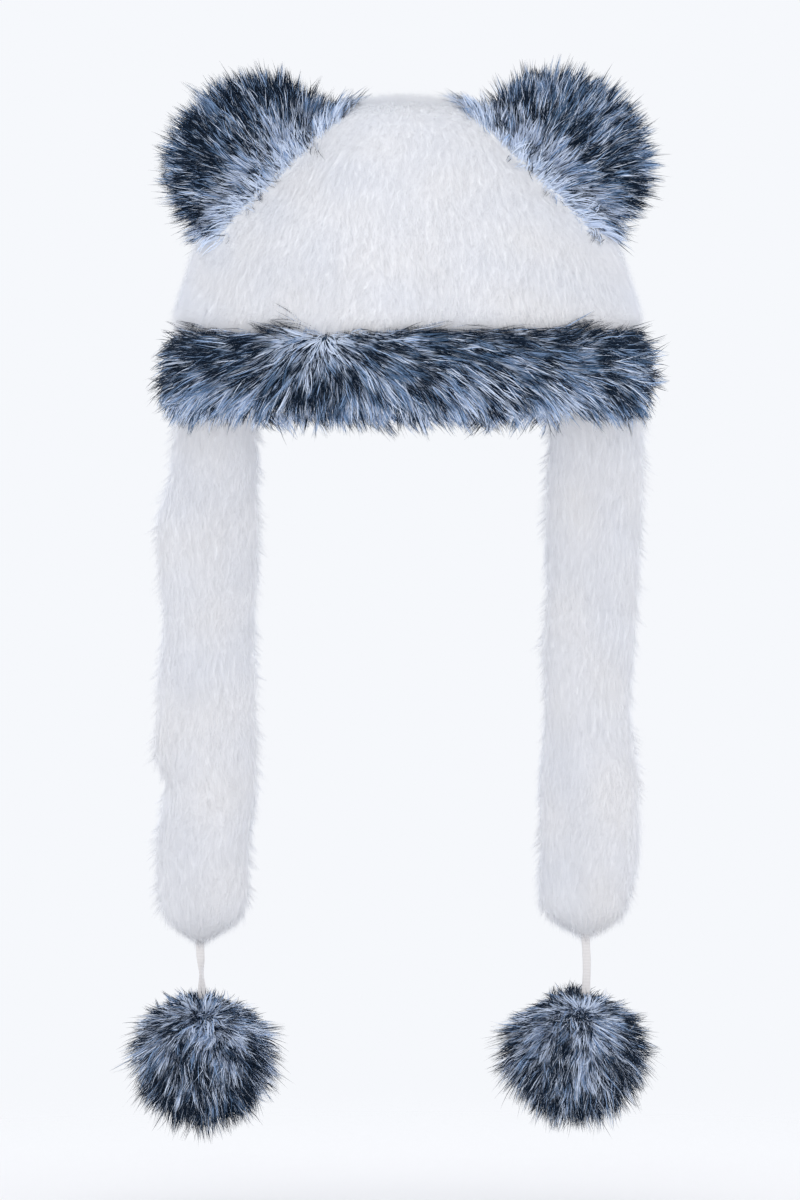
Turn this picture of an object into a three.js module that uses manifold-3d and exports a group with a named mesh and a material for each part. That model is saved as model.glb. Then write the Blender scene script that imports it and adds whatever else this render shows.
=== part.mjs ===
// A plush animal hat with two round ears, a deep fur cuff and two scarf tails that end in pompoms.
// Millimetres, +Z up, the front towards -Y and the wearer's sides along X.
// The origin is where the top of the head meets the inside of the crown.

import * as THREE from 'three';
import { mergeVertices } from 'three/addons/utils/BufferGeometryUtils.js';
import Module from 'manifold-3d';

const wasm = await Module();
wasm.setup();

// Clearance that two touching pieces keep.
const GAP = 0.3;

// The head hollow: a front and a back panel that meet at the sides, domed above domeBaseZ.
const HOLLOW = {
	halfWidth: 113,
	halfDepth: 73,
	domeBaseZ: -104,
	hemZ: -168,
};

// The dome: a flat top and straight shoulders that the ears are sewn along, outside and inside its wall
// of backing and plush pile together. From front to back it is rounder, by depthPower.
const DOME = { depthPower: 2.2, topWall: 15, sideWall: 16 };
const DOME_OUTSIDE = [
	{ z: 13.5, half: 20 },
	{ z: 11, half: 34 },
	{ z: 3, half: 47 },
	{ z: -8, half: 59 },
	{ z: -22, half: 73 },
	{ z: -38, half: 89 },
	{ z: -52, half: 105 },
	{ z: -66, half: 116 },
	{ z: -82, half: 122 },
	{ z: -104, half: 129 },
];
const DOME_INSIDE = [
	{ z: -1, half: 17 },
	{ z: -4, half: 30 },
	{ z: -12, half: 41 },
	{ z: -24, half: 54 },
	{ z: -40, half: 70 },
	{ z: -56, half: 87 },
	{ z: -70, half: 99 },
	{ z: -86, half: 108 },
	{ z: -104, half: 113 },
];

// The crown below its dome, pressed flat where the cuff covers it.
const CROWN = { sides: 36 };
const CROWN_SKIRT = [
	{ z: -108, wall: 16 },
	{ z: -115, wall: 14 },
	{ z: -120, wall: 7 },
	{ z: HOLLOW.hemZ, wall: 7 },
];

// The cuff: a fur band turned up over the hem, combed away from a parting left of the middle. thick is
// its own thickness at each level, dense fur included, and the locks stand out of that. sweep and rise
// are how far a row's locks lean round the hat and up it.
const CUFF = { sides: 36, columns: 18, rootDepth: 4, standOut: 0.12, partingX: -42, stray: 0.2 };
const CUFF_BODY = [
	{ z: -114, thick: 2 },
	{ z: -119, thick: 9 },
	{ z: -141, thick: 13 },
	{ z: -161, thick: 10 },
	{ z: -168, thick: 3 },
];
const CUFF_LOCKS = [
	{ z: -125, length: 32, width: 30, sweep: 0.9, rise: 0.25 },
	{ z: -141, length: 33, width: 32, sweep: 0.85, rise: -0.4 },
	{ z: -156, length: 30, width: 30, sweep: 0.6, rise: -0.8 },
];

// The ears: round stuffed pads in the mid plane, their fur fanned out from a point inside the crown.
// Each row of locks runs over an arc of degrees about the ear's own axis. face is a row's distance from
// the mid plane, standOut how steeply its locks leave the face, and splay how far their tips turn out.
const EAR = { padRadius: 46, padDepth: 18, lockWidth: 23, rootDepth: 4 };
const EARS = [
	{ name: 'ear_left', side: -1, x: 83, z: -20 },
	{ name: 'ear_right', side: 1, x: 84, z: -18 },
];
const EAR_FAN = { x: 56, z: -44 };
const EAR_ROWS = [
	{ radius: 10, face: 15, locks: 4, arc: 85, length: 29, standOut: 0.9, splay: 0.25 },
	{ radius: 29, face: 12, locks: 6, arc: 88, length: 26, standOut: 0.9, splay: 0.2 },
];
const EAR_RIM = { radius: 40, locks: 10, arc: 94, length: 17, splay: 0.35 };

// The tails: flat padded strips, tucked inside the hem as a narrower tab. inner and outer are the edges'
// distances from the middle of the hat, half is half of the thickness.
const TAIL_SIDES = 14;
const TAIL_TAB = { topZ: -143, inner: 83, outer: 117, half: 8 };
const TAILS = [
	{
		name: 'tail_left',
		side: -1,
		rows: [
			{ z: -171, inner: 82, outer: 122, half: 10 },
			{ z: -176, inner: 82, outer: 129, half: 12 },
			{ z: -192, inner: 82, outer: 130, half: 12 },
			{ z: -215, inner: 81, outer: 138, half: 12 },
			{ z: -240, inner: 81, outer: 138, half: 12 },
			{ z: -270, inner: 83, outer: 134, half: 11 },
			{ z: -300, inner: 83, outer: 137, half: 12 },
			{ z: -346, inner: 82, outer: 140, half: 12 },
			{ z: -363, inner: 82, outer: 133, half: 11 },
			{ z: -395, inner: 86, outer: 139, half: 12 },
			{ z: -426, inner: 86, outer: 137, half: 12 },
			{ z: -441, inner: 93, outer: 133, half: 10 },
			{ z: -449, inner: 102, outer: 125, half: 7 },
		],
		endZ: -452,
	},
	{
		name: 'tail_right',
		side: 1,
		rows: [
			{ z: -171, inner: 79, outer: 123, half: 10 },
			{ z: -176, inner: 78, outer: 130, half: 12 },
			{ z: -192, inner: 76, outer: 131, half: 12 },
			{ z: -225, inner: 75, outer: 129, half: 12 },
			{ z: -256, inner: 77, outer: 128, half: 11 },
			{ z: -289, inner: 74, outer: 125, half: 12 },
			{ z: -322, inner: 75, outer: 123, half: 11 },
			{ z: -355, inner: 73, outer: 128, half: 12 },
			{ z: -405, inner: 72, outer: 128, half: 12 },
			{ z: -426, inner: 72, outer: 123, half: 12 },
			{ z: -439, inner: 79, outer: 118, half: 10 },
			{ z: -446, inner: 88, outer: 108, half: 7 },
		],
		endZ: -449,
	},
];

// The cords: flat woven tape that hangs from inside a tail's end into the middle of its pompom.
const CORD = { width: 4.6, thickness: 1.4, sides: 8, steps: 7 };
const CORDS = [
	{
		name: 'cord_left',
		route: [
			[-114.2, -443], [-114.1, -446.5], [-114.0, -450], [-113.8, -453.5], [-113.6, -457],
			[-113.4, -460.5], [-113.2, -464], [-113.0, -467.5], [-112.9, -471], [-112.8, -474.5],
			[-112.7, -478], [-112.6, -481.5], [-112.5, -485], [-112.4, -488.5], [-112.3, -492],
		],
	},
	{
		name: 'cord_right',
		route: [
			[97.6, -440], [97.8, -443.6], [98.1, -447.2], [98.4, -450.8], [98.6, -454.4],
			[98.8, -458], [98.9, -461.6], [98.9, -465.2], [98.8, -468.8], [98.6, -472.4],
			[98.4, -476], [98.1, -479.6], [97.7, -483.2], [97.3, -486.8], [96.9, -490.4],
		],
	},
];

// The pompoms: a tied head of fur whose locks stand out and droop.
const POMPOM = {
	headRadius: 31,
	locks: 38,
	reach: 42,
	flattening: 0.13,
	lockWidth: 20,
	rootDepth: 7,
	droop: 0.4,
	stray: 0.25,
};
const POMPOMS = [
	{ name: 'pompom_left', x: -110.5, z: -511, droopX: -0.15 },
	{ name: 'pompom_right', x: 94.5, z: -509, droopX: 0.08 },
];

// Each lock of fur is a flattened cone of few faces that bends over at its knee. Lengths differ a little.
const LOCK = { sides: 4, steps: 2, knee: 0.36, flatness: 0.5, unevenness: 0.1 };

// How far a cutting body reaches past the hem.
const CUT_DEPTH = 30;

const UP = new THREE.Vector3(0, 0, 1);
const FRONT = new THREE.Vector3(0, -1, 0);
const GOLDEN_ANGLE = Math.PI * (3 - Math.sqrt(5));

const whitePlush = new THREE.MeshStandardMaterial({ color: 0xe4e7ee, roughness: 0.95, metalness: 0 });
const tippedFur = new THREE.MeshStandardMaterial({ color: 0x62718a, roughness: 0.85, metalness: 0 });
const whiteTape = new THREE.MeshStandardMaterial({ color: 0xe2e4e9, roughness: 0.8, metalness: 0 });

// The same uneven number from -1 to 1 each time, for locks that aren't all alike.
function uneven(index) {
	const wave = Math.sin(index * 12.9898 + 4.137) * 43758.5453;
	return 2 * (wave - Math.floor(wave)) - 1;
}

// A closed three.js geometry as a solid that can be joined and cut.
function solidOf(geometry) {
	geometry.deleteAttribute('normal');
	geometry.deleteAttribute('uv');
	const merged = mergeVertices(geometry, 1e-4);
	return new wasm.Manifold(new wasm.Mesh({
		numProp: 3,
		vertProperties: new Float32Array(merged.attributes.position.array),
		triVerts: new Uint32Array(merged.index.array),
	}));
}

function pieceOf(name, solid, material) {
	const mesh = solid.getMesh();
	const geometry = new THREE.BufferGeometry();
	geometry.setAttribute('position', new THREE.BufferAttribute(mesh.vertProperties, 3));
	geometry.setIndex(new THREE.BufferAttribute(mesh.triVerts, 1));
	geometry.computeVertexNormals();
	const piece = new THREE.Mesh(geometry, material);
	piece.name = name;
	return piece;
}

// A skin over rings of points, from the first ring down to the last. A ring of one point is a pole.
function skin(rings, { joined = false } = {}) {
	const points = rings.flat();
	const starts = [];
	let count = 0;
	for (const ring of rings) {
		starts.push(count);
		count += ring.length;
	}
	const faces = [];
	const bands = joined ? rings.length : rings.length - 1;
	for (let band = 0; band < bands; band += 1) {
		const next = (band + 1) % rings.length;
		const upper = rings[band].length;
		const lower = rings[next].length;
		const sides = Math.max(upper, lower);
		for (let side = 0; side < sides; side += 1) {
			const a = starts[band] + side % upper;
			const b = starts[band] + (side + 1) % upper;
			const c = starts[next] + side % lower;
			const d = starts[next] + (side + 1) % lower;
			if (lower > 1) faces.push(a, c, d);
			if (upper > 1) faces.push(a, d, b);
		}
	}
	const geometry = new THREE.BufferGeometry().setFromPoints(points);
	geometry.setIndex(faces);
	return geometry;
}

// A level oval ring of points.
function ovalRing(halfWidth, halfDepth, z, sides) {
	const ring = [];
	for (let side = 0; side < sides; side += 1) {
		const angle = 2 * Math.PI * side / sides;
		ring.push(new THREE.Vector3(halfWidth * Math.cos(angle), halfDepth * Math.sin(angle), z));
	}
	return ring;
}

// One level of the hat: the hollow's outline at this height, moved out by the wall.
function hatRing(width, wall, z, sides) {
	const depth = width * HOLLOW.halfDepth / HOLLOW.halfWidth;
	return ovalRing(width + wall, depth + wall, z, sides);
}

// The dome's rings from just under its top to its base, each moved out and up by grow.
function domeRings(rows, sideWall, topZ, grow) {
	return rows.map(({ z, half }) => {
		const rise = (z - HOLLOW.domeBaseZ) / (topZ - HOLLOW.domeBaseZ);
		const spread = (1 - rise ** DOME.depthPower) ** (1 / DOME.depthPower);
		return ovalRing(half + grow, (HOLLOW.halfDepth + sideWall) * spread + grow, z + grow, CROWN.sides);
	});
}

function crownOutside(grow) {
	const skirt = CROWN_SKIRT.map(({ z, wall }) => hatRing(HOLLOW.halfWidth, wall + grow, z, CROWN.sides));
	return [
		[new THREE.Vector3(0, 0, DOME.topWall + grow)],
		...domeRings(DOME_OUTSIDE, DOME.sideWall, DOME.topWall, grow),
		...skirt,
	];
}

function crownInside(grow) {
	return [
		hatRing(HOLLOW.halfWidth, -grow, HOLLOW.hemZ, CROWN.sides),
		...domeRings(DOME_INSIDE, 0, 0, -grow).reverse(),
		[new THREE.Vector3(0, 0, -grow)],
	];
}

// The crown's wall, and the same wall grown on every side to cut its neighbours.
function crownWall(grow = 0) {
	const outside = crownOutside(grow);
	const inside = crownInside(grow);
	for (const point of [...outside.at(-1), ...inside[0]]) point.z -= grow;
	return solidOf(skin([...outside, ...inside]));
}

// Everything inside the crown's outer surface, down past the hem.
function crownVolume(grow) {
	const outside = crownOutside(grow);
	const floorZ = HOLLOW.hemZ - CUT_DEPTH;
	const below = hatRing(HOLLOW.halfWidth, CROWN_SKIRT.at(-1).wall + grow, floorZ, CROWN.sides);
	return solidOf(skin([...outside, below, [new THREE.Vector3(0, 0, floorZ)]]));
}

// One lock: it leaves its root along grow and turns over towards lean.
function lock({ root, grow, lean, length, width, chance }) {
	length *= 1 + LOCK.unevenness * chance;
	const knee = root.clone().addScaledVector(grow, length * LOCK.knee);
	const tip = knee.clone().addScaledVector(lean, length * (1 - LOCK.knee));
	const spine = new THREE.QuadraticBezierCurve3(root, knee, tip);
	const across = new THREE.Vector3().crossVectors(grow, lean);
	if (across.lengthSq() < 1e-4) across.crossVectors(grow, FRONT);
	across.normalize();
	const cone = new THREE.ConeGeometry(width / 2, length, LOCK.sides, LOCK.steps);
	const place = cone.attributes.position;
	for (let index = 0; index < place.count; index += 1) {
		const along = place.getY(index) / length + 0.5;
		const out = new THREE.Vector3().crossVectors(across, spine.getTangent(along)).normalize();
		const point = spine.getPoint(along);
		point.addScaledVector(across, place.getX(index));
		point.addScaledVector(out, place.getZ(index) * LOCK.flatness);
		place.setXYZ(index, point.x, point.y, point.z);
	}
	return solidOf(cone);
}

function fused(solids) {
	return solids.reduce((whole, solid) => whole.add(solid));
}

// The cuff's fur: rows of locks round a backing ring, swept away from the parting and hanging at the rim.
function cuffLocks() {
	const locks = [];
	const partingAngle = Math.atan2(-1, CUFF.partingX / HOLLOW.halfWidth);
	CUFF_LOCKS.forEach((row, rowIndex) => {
		for (let column = 0; column < CUFF.columns; column += 1) {
			const chance = uneven(column + rowIndex * CUFF.columns);
			const turn = (column + 0.5 * (rowIndex % 2) + CUFF.stray * chance) / CUFF.columns;
			const [root, outward, along] = cuffPlace(partingAngle + 2 * Math.PI * turn, row.z);
			const side = turn < 0.5 ? 1 : -1;
			const lean = outward.clone().multiplyScalar(CUFF.standOut)
				.addScaledVector(along, side * row.sweep)
				.addScaledVector(UP, row.rise + CUFF.stray * chance)
				.normalize();
			locks.push(lock({ root, grow: outward, lean, length: row.length, width: row.width, chance }));
		}
	});
	return locks;
}

// A place under the surface of the cuff's dense fur, with the directions out of it and round it.
function cuffPlace(angle, z) {
	const lower = CUFF_BODY.findIndex((row) => row.z < z);
	const above = CUFF_BODY[lower - 1];
	const below = CUFF_BODY[lower];
	const thick = THREE.MathUtils.mapLinear(z, above.z, below.z, above.thick, below.thick);
	const wall = CROWN_SKIRT.at(-1).wall + GAP + thick - CUFF.rootDepth;
	const halfWidth = HOLLOW.halfWidth + wall;
	const halfDepth = HOLLOW.halfDepth + wall;
	const root = new THREE.Vector3(halfWidth * Math.cos(angle), halfDepth * Math.sin(angle), z);
	const along = new THREE.Vector3(-halfWidth * Math.sin(angle), halfDepth * Math.cos(angle), 0).normalize();
	const outward = new THREE.Vector3().crossVectors(along, UP);
	return [root, outward, along];
}

function cuffBody() {
	const inner = CROWN_SKIRT.at(-1).wall + GAP;
	const outside = CUFF_BODY.map(({ z, thick }) => hatRing(HOLLOW.halfWidth, inner + thick, z, CUFF.sides));
	const inside = [CUFF_BODY.at(-1).z, CUFF_BODY[0].z].map((z) => (
		hatRing(HOLLOW.halfWidth, inner, z, CUFF.sides)
	));
	return solidOf(skin([...outside, ...inside], { joined: true }));
}

// An ear: a pad with rows of locks on both faces and one round its rim.
function ear({ side, x, z }) {
	const centre = new THREE.Vector3(side * x, 0, z);
	const fan = new THREE.Vector3(side * EAR_FAN.x, 0, EAR_FAN.z);
	const axis = centre.clone().sub(fan).normalize();
	const sideways = new THREE.Vector3().crossVectors(axis, FRONT);
	const pad = new THREE.SphereGeometry(1, 16, 8);
	pad.scale(EAR.padRadius, EAR.padDepth, EAR.padRadius);
	pad.translate(centre.x, centre.y, centre.z);
	const solids = [solidOf(pad)];
	const rootOf = ({ radius, locks, arc }, index) => {
		const angle = THREE.MathUtils.degToRad(arc * (2 * index / (locks - 1) - 1));
		return centre.clone()
			.addScaledVector(axis, radius * Math.cos(angle))
			.addScaledVector(sideways, radius * Math.sin(angle));
	};
	const addLock = (row, root, growOut, leanOut, chance) => {
		const outward = root.clone().sub(fan).setY(0).normalize();
		const grow = outward.clone().setY(growOut).normalize();
		const lean = outward.clone().setY(leanOut).normalize();
		solids.push(lock({ root, grow, lean, length: row.length, width: EAR.lockWidth, chance }));
	};
	for (const face of [-1, 1]) {
		for (const row of EAR_ROWS) {
			for (let index = 0; index < row.locks; index += 1) {
				const root = rootOf(row, index).setY(face * (row.face - EAR.rootDepth));
				addLock(row, root, face * row.standOut, face * row.splay, uneven(index + row.radius + face));
			}
		}
	}
	for (let index = 0; index < EAR_RIM.locks; index += 1) {
		const chance = uneven(index + side);
		addLock(EAR_RIM, rootOf(EAR_RIM, index), 0, EAR_RIM.splay * chance, chance);
	}
	return fused(solids);
}

// One section of a tail: a flat oval between its two edges.
function tailRing(side, { z, inner, outer, half }, grow) {
	const middle = side * 0.5 * (inner + outer);
	const halfWidth = 0.5 * (outer - inner) + grow;
	const ring = [];
	for (let step = 0; step < TAIL_SIDES; step += 1) {
		const angle = 2 * Math.PI * step / TAIL_SIDES;
		const x = middle + halfWidth * Math.cos(angle);
		const y = (half + grow) * Math.sin(angle);
		ring.push(new THREE.Vector3(x, y, z));
	}
	return ring;
}

function tailStrip({ side, rows, endZ }, grow = 0) {
	const tab = [
		{ ...TAIL_TAB, z: TAIL_TAB.topZ + grow },
		{ ...TAIL_TAB, z: HOLLOW.hemZ + 1 },
	];
	const rings = [...tab, ...rows].map((row) => tailRing(side, row, grow));
	const last = rows.at(-1);
	const endX = side * 0.5 * (last.inner + last.outer);
	const tabX = side * 0.5 * (TAIL_TAB.inner + TAIL_TAB.outer);
	return solidOf(skin([
		[new THREE.Vector3(tabX, 0, TAIL_TAB.topZ + grow)],
		...rings,
		[new THREE.Vector3(endX, 0, endZ - grow)],
	]));
}

// A cord: a flat oval section swept down its route.
function cord({ route }, grow = 0) {
	const points = route.map(([x, z]) => new THREE.Vector3(x, 0, z));
	points[0].z += grow;
	points.at(-1).z -= grow;
	const path = new THREE.CatmullRomCurve3(points);
	const section = new THREE.Shape();
	for (let side = 0; side < CORD.sides; side += 1) {
		const angle = 2 * Math.PI * (side + 0.5) / CORD.sides;
		const x = (0.5 * CORD.thickness + grow) * Math.cos(angle);
		const y = (0.5 * CORD.width + grow) * Math.sin(angle);
		if (side === 0) section.moveTo(x, y);
		else section.lineTo(x, y);
	}
	section.closePath();
	return solidOf(new THREE.ExtrudeGeometry(section, { steps: CORD.steps, extrudePath: path }));
}

// A pompom: locks spread evenly over a round head, each bending over under its own weight.
function pompom({ x, z, droopX }) {
	const centre = new THREE.Vector3(x, 0, z);
	const head = new THREE.IcosahedronGeometry(POMPOM.headRadius, 1);
	head.translate(centre.x, centre.y, centre.z);
	const solids = [solidOf(head)];
	for (let index = 0; index < POMPOM.locks; index += 1) {
		const height = 1 - 2 * (index + 0.5) / POMPOM.locks;
		const level = Math.sqrt(1 - height * height);
		const turn = GOLDEN_ANGLE * index;
		const outward = new THREE.Vector3(level * Math.cos(turn), level * Math.sin(turn), height);
		const chance = uneven(index + Math.round(x));
		const start = POMPOM.headRadius - POMPOM.rootDepth;
		const reach = POMPOM.reach * (1 - POMPOM.flattening * Math.abs(height));
		const astray = new THREE.Vector3(droopX + POMPOM.stray * chance, POMPOM.stray * uneven(index), 0);
		const lean = outward.clone().addScaledVector(UP, -POMPOM.droop * level).add(astray).normalize();
		const root = centre.clone().addScaledVector(outward, start);
		const length = reach - start;
		solids.push(lock({ root, grow: outward, lean, length, width: POMPOM.lockWidth, chance }));
	}
	return fused(solids);
}

const hat = new THREE.Group();
const around = crownVolume(GAP);

hat.add(pieceOf('crown', crownWall(), whitePlush));

let cuff = fused([cuffBody(), ...cuffLocks()]).subtract(around);
for (const tail of TAILS) cuff = cuff.subtract(tailStrip(tail, GAP));
hat.add(pieceOf('cuff', cuff, tippedFur));

for (const place of EARS) hat.add(pieceOf(place.name, ear(place).subtract(around), tippedFur));

TAILS.forEach((tail, index) => {
	const cut = crownWall(GAP).add(cord(CORDS[index], GAP));
	hat.add(pieceOf(tail.name, tailStrip(tail).subtract(cut), whitePlush));
});

for (const run of CORDS) hat.add(pieceOf(run.name, cord(run), whiteTape));

POMPOMS.forEach((ball, index) => {
	hat.add(pieceOf(ball.name, pompom(ball).subtract(cord(CORDS[index], GAP)), tippedFur));
});

export default hat;
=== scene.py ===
"""A plush animal hat: white dome, two fur ears, a deep fur cuff, two scarf tails, cords and pompoms.

Shapes are worked out in millimetres and turned to metres when a mesh is made. +Z is up and the front is -Y.
"""

import math

import bpy
import numpy as np
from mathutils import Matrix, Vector, kdtree


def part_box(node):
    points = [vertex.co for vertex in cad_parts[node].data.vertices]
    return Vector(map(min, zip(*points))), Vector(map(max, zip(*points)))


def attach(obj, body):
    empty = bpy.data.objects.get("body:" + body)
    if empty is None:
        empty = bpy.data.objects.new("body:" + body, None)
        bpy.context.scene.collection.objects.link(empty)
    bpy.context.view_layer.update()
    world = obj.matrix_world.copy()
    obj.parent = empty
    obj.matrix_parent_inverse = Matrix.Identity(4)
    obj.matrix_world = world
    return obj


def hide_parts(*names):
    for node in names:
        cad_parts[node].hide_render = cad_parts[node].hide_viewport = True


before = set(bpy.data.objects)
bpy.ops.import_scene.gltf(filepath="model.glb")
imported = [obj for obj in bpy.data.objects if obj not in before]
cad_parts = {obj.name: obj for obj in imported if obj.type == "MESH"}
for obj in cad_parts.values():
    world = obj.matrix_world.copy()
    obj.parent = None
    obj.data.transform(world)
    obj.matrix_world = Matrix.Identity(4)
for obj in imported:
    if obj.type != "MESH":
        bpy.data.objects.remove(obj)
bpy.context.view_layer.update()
scene = bpy.context.scene

MM = 0.001
UP = np.array([0.0, 0.0, 1.0])

# The photograph's frame and its scale at the hat's middle plane.
PHOTO_SIZE = (800, 1200)
MM_PER_PIXEL = 0.55
ORIGIN_PIXEL = (407, 124)
CAMERA = {"lens": 180.0, "sensor": 36.0}
FLOOR = {"z": -0.6, "radius": 0.9, "fades_from": 0.2}

# The lamps: where each is, in metres, its power in watts and its tint. All are squares of one size.
LAMP_SIZE = 1.6
LAMPS_AIM = (0, 0, -0.25)
LAMPS = {
    "key": ((1.9, -2.0, -0.45), 29, "#fff8ef"),
    "fill": ((-1.9, -2.0, -0.45), 27.5, "#fff9f2"),
    "back_right": ((1.9, 2.0, -0.42), 26, "#f1f5ff"),
    "back_left": ((-1.9, 2.0, -0.42), 26, "#f1f5ff"),
    "overhead": ((0, 0, 1.4), 6.5, "#fffdf9"),
}

# The hat's hollow in mm, from which the walls of the dome and of the skirt below it are measured.
HOLLOW = {"half_width": 113, "half_depth": 73, "dome_base": -104, "hem": -168, "sewn_hem": -157}
DOME = {"depth_power": 2.2, "top_wall": 15, "side_wall": 16}
DOME_OUTSIDE = {
    "z": [15, 13.5, 11, 3, -8, -22, -38, -52, -66, -82, -104],
    "half_width": [0, 20, 34, 47, 59, 73, 89, 105, 116, 122, 129],
}
DOME_INSIDE = {
    "z": [0, -1, -4, -12, -24, -40, -56, -70, -86, -104],
    "half_width": [0, 17, 30, 41, 54, 70, 87, 99, 108, 113],
}
SKIRT = {
    "z": [-104, -108, -115, -120, -168],
    "wall": [14, 16, 14, 7, 7],
    "pile": [2, 2, 3, 0.5, 0.5],
}
PLUSH_DEPTH = 2
PILE_LOW = -119

# How far the cuff's front and back are outside the hollow, and where its fur parts, left of the middle.
CUFF_BODY = {"z": [-117, -122, -138, -150, -155], "out": [8, 12, 15, 13, 9], "back": 7.2}
PARTING_X = -42

# Each ear's and pompom's middle, x and z. The left ear's fur is the darker. An ear's fur fans out from a
# point inwards of and below its middle, and its seam lies in a round patch of the crown.
EARS = {"ear_left": (-83, -22), "ear_right": (84, -20)}
EAR_DARKNESS = {"ear_left": 0.62, "ear_right": 0.18}
EAR = {"pad_radius": (38, 33), "pad_depth": 12, "fan": (26, 22), "seam_shift": (6, 2), "seam_radius": 54}
POMPOMS = {"pompom_left": (-110.5, -511), "pompom_right": (94.5, -509)}

# How many fibres of pile and strands of fur are drawn on each piece, and where its random draws start.
FIBRES = {"crown": 190000, "tail": 85000}
STRANDS = {"cuff": 26000, "ear": 11500, "ear_seam": 5200, "pompom": 11500}
SEEDS = {
    "crown": 11, "cuff": 23, "ear_left": 41, "ear_right": 53, "tail_left": 61, "tail_right": 73,
    "pompom_left": 83, "pompom_right": 97,
}

# What all fur has in common, and all pile; grow says what each value is. Lengths are in mm.
FUR = {"steps": 4, "spread": 0.12, "knee": 0.4, "lift_spread": 0.1}
PILE = {
    "steps": 1, "length": 8, "spread": 0.2, "knee": 0.5, "stray": 0.07, "lift_spread": 0.05,
    "lock_size": 18, "lock_spread": 0, "wave": 0, "guard": 0,
}
PILE_FIBRE_WIDTH = 0.22

# How many tones and dyed tips the strands of a piece come in.
TONE_LEVELS = 5
TIP_LEVELS = 10

CORD_WIDTH = 4.6
CORD_THICKNESS = 1.2
CORD_TWISTS = {"cord_left": 62, "cord_right": 12}
CORD_ROUTES = {
    "cord_left": [
        (-114.2, -443), (-114.1, -446.5), (-114.0, -450), (-113.8, -453.5), (-113.6, -457),
        (-113.4, -460.5), (-113.2, -464), (-113.0, -467.5), (-112.9, -471), (-112.8, -474.5),
        (-112.7, -478), (-112.6, -481.5), (-112.5, -485), (-112.4, -488.5), (-112.3, -492),
    ],
    "cord_right": [
        (97.6, -440), (97.8, -443.6), (98.1, -447.2), (98.4, -450.8), (98.6, -454.4),
        (98.8, -458), (98.9, -461.6), (98.9, -465.2), (98.8, -468.8), (98.6, -472.4),
        (98.4, -476), (98.1, -479.6), (97.7, -483.2), (97.3, -486.8), (96.9, -490.4),
    ],
}

# The two colour inputs of a mix node, and its colour output.
FIRST_COLOUR, SECOND_COLOUR, MIXED_COLOUR = 6, 7, 2


def linear(code):
    """An sRGB hex colour as linear red, green, blue and alpha."""
    channels = [int(code[i : i + 2], 16) / 255 for i in (1, 3, 5)]
    return [c / 12.92 if c <= 0.04045 else ((c + 0.055) / 1.055) ** 2.4 for c in channels] + [1.0]


def add_node(tree, kind, settings=None, links=None):
    """Adds a node. A setting is a property or an input's own value, and a link feeds an input."""
    node = tree.nodes.new(kind)
    for name, value in (settings or {}).items():
        if isinstance(name, int) or name in node.inputs:
            node.inputs[name].default_value = value
        else:
            setattr(node, name, value)
    for name, source in (links or {}).items():
        tree.links.new(source, node.inputs[name])
    return node


def new_material(name, finish):
    """An empty material with its shader and output, and the shader's own values set."""
    material = bpy.data.materials.new(name)
    material.use_nodes = True
    tree = material.node_tree
    tree.nodes.clear()
    shader = add_node(tree, "ShaderNodeBsdfPrincipled", finish)
    add_node(tree, "ShaderNodeOutputMaterial", links={"Surface": shader.outputs["BSDF"]})
    return material, tree, shader


def show(tree, surface):
    """Makes surface what the material shows."""
    output = next(node for node in tree.nodes if node.type == "OUTPUT_MATERIAL")
    tree.links.new(surface.outputs["Shader"], output.inputs["Surface"])


def see_through(tree, shader, colour, share):
    """Colours the shader and lets a share of the light through thin fibres from behind."""
    tree.links.new(colour, shader.inputs["Base Color"])
    behind = add_node(tree, "ShaderNodeBsdfTranslucent", links={"Color": colour})
    both = {1: shader.outputs["BSDF"], 2: behind.outputs["BSDF"]}
    show(tree, add_node(tree, "ShaderNodeMixShader", {0: share}, both))


def blend(tree, share, first, second):
    """A mix of two colours, each a hex code or an output. The larger share is, the more of the second."""
    settings, links = {"data_type": "RGBA"}, {0: share}
    for place, colour in ((FIRST_COLOUR, first), (SECOND_COLOUR, second)):
        if isinstance(colour, str):
            settings[place] = linear(colour)
        else:
            links[place] = colour
    return add_node(tree, "ShaderNodeMix", settings, links).outputs[MIXED_COLOUR]


def eased(tree, value, low, high):
    """A smooth step from 0, where value is low, to 1, where it is high."""
    ends = {"interpolation_type": "SMOOTHSTEP", "From Min": low, "From Max": high}
    return add_node(tree, "ShaderNodeMapRange", ends, {"Value": value}).outputs["Result"]


def worked_out(tree, operation, *values):
    """One step of arithmetic on values, each a plain number or an output."""
    settings, links = {"operation": operation}, {}
    for place, value in enumerate(values):
        group = settings if isinstance(value, float) else links
        group[place] = value
    return add_node(tree, "ShaderNodeMath", settings, links).outputs[0]


def add_place(tree):
    """Where on its piece a point is, in metres."""
    return add_node(tree, "ShaderNodeTexCoord").outputs["Object"]


def strand_facts(tree):
    """How far along its strand a point is, the strand's tone, and where along it its dyed tip starts."""
    strand = add_node(tree, "ShaderNodeAttribute", {"attribute_name": "strand"})
    parts = add_node(tree, "ShaderNodeSeparateXYZ", links={"Vector": strand.outputs["Vector"]})
    return [parts.outputs[axis] for axis in "XYZ"]


def raise_grain(tree, shader, colour, height, strength, depth):
    """Colours the shader and raises its surface by height, depth metres at the most."""
    bump = add_node(tree, "ShaderNodeBump", {"Strength": strength, "Distance": depth}, {"Height": height})
    tree.links.new(colour, shader.inputs["Base Color"])
    tree.links.new(bump.outputs["Normal"], shader.inputs["Normal"])


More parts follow.
